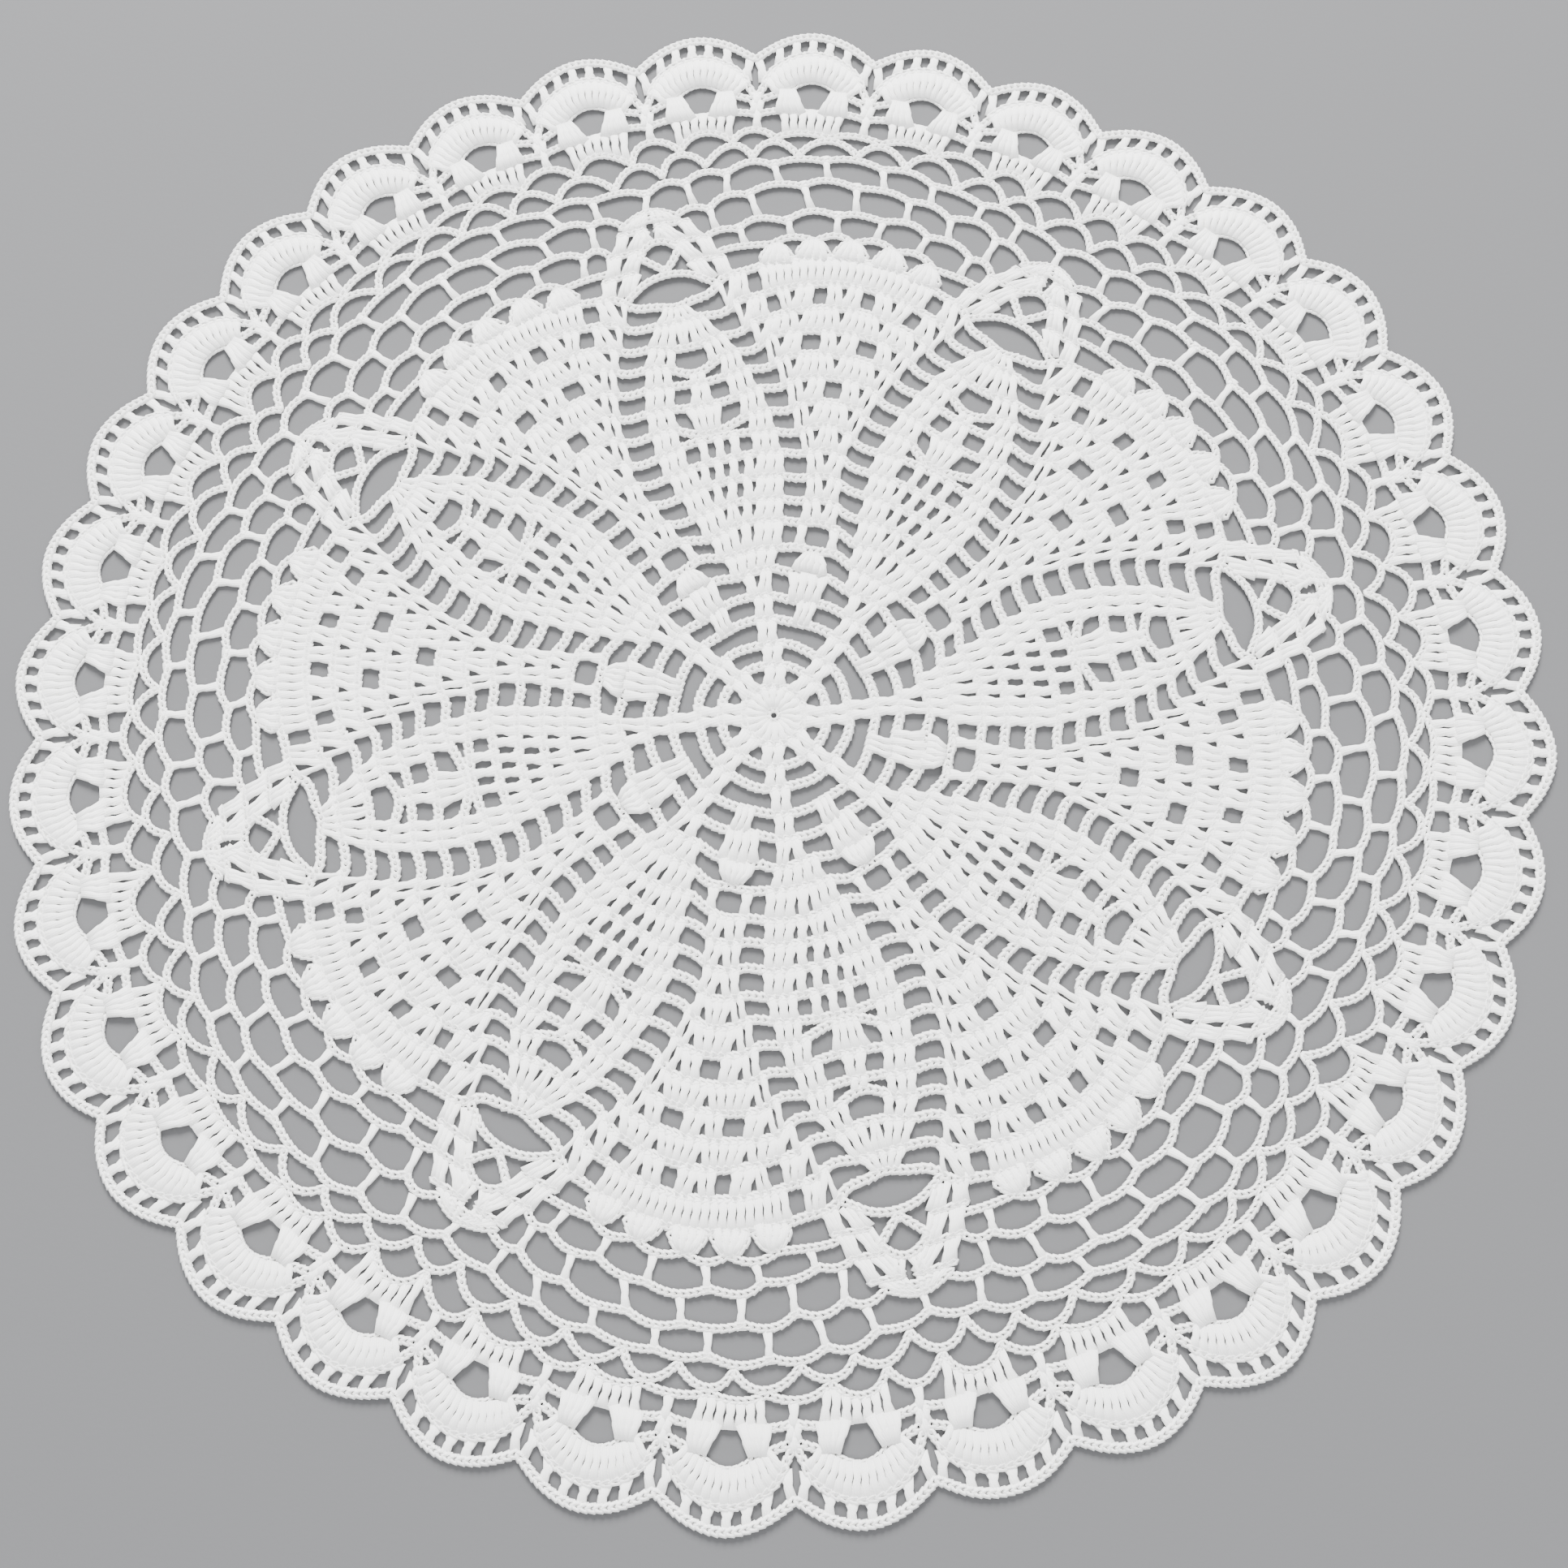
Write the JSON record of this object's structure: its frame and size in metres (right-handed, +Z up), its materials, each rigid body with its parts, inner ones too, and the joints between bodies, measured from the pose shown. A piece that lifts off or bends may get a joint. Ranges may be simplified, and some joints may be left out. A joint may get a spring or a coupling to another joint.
{
  "type": "lace doily",
  "caption": "Round crocheted cotton lace doily, with eight curved leaves about its middle, fans between them, an open net and a scalloped edge. It lies flat.",
  "frame": {"origin": "under the middle of the doily's bounding box, on the surface it lies on", "axes": "+Z up out of the surface, along the doily's thickness; the first leaf's eye lies 16.6 degrees from +X towards +Y"},
  "size_m": [0.3282, 0.331, 0.0026],
  "materials": {
    "cotton": "matte"
  },
  "bodies": {
    "root": {"doily": "cotton"}
  },
  "joints": []
}
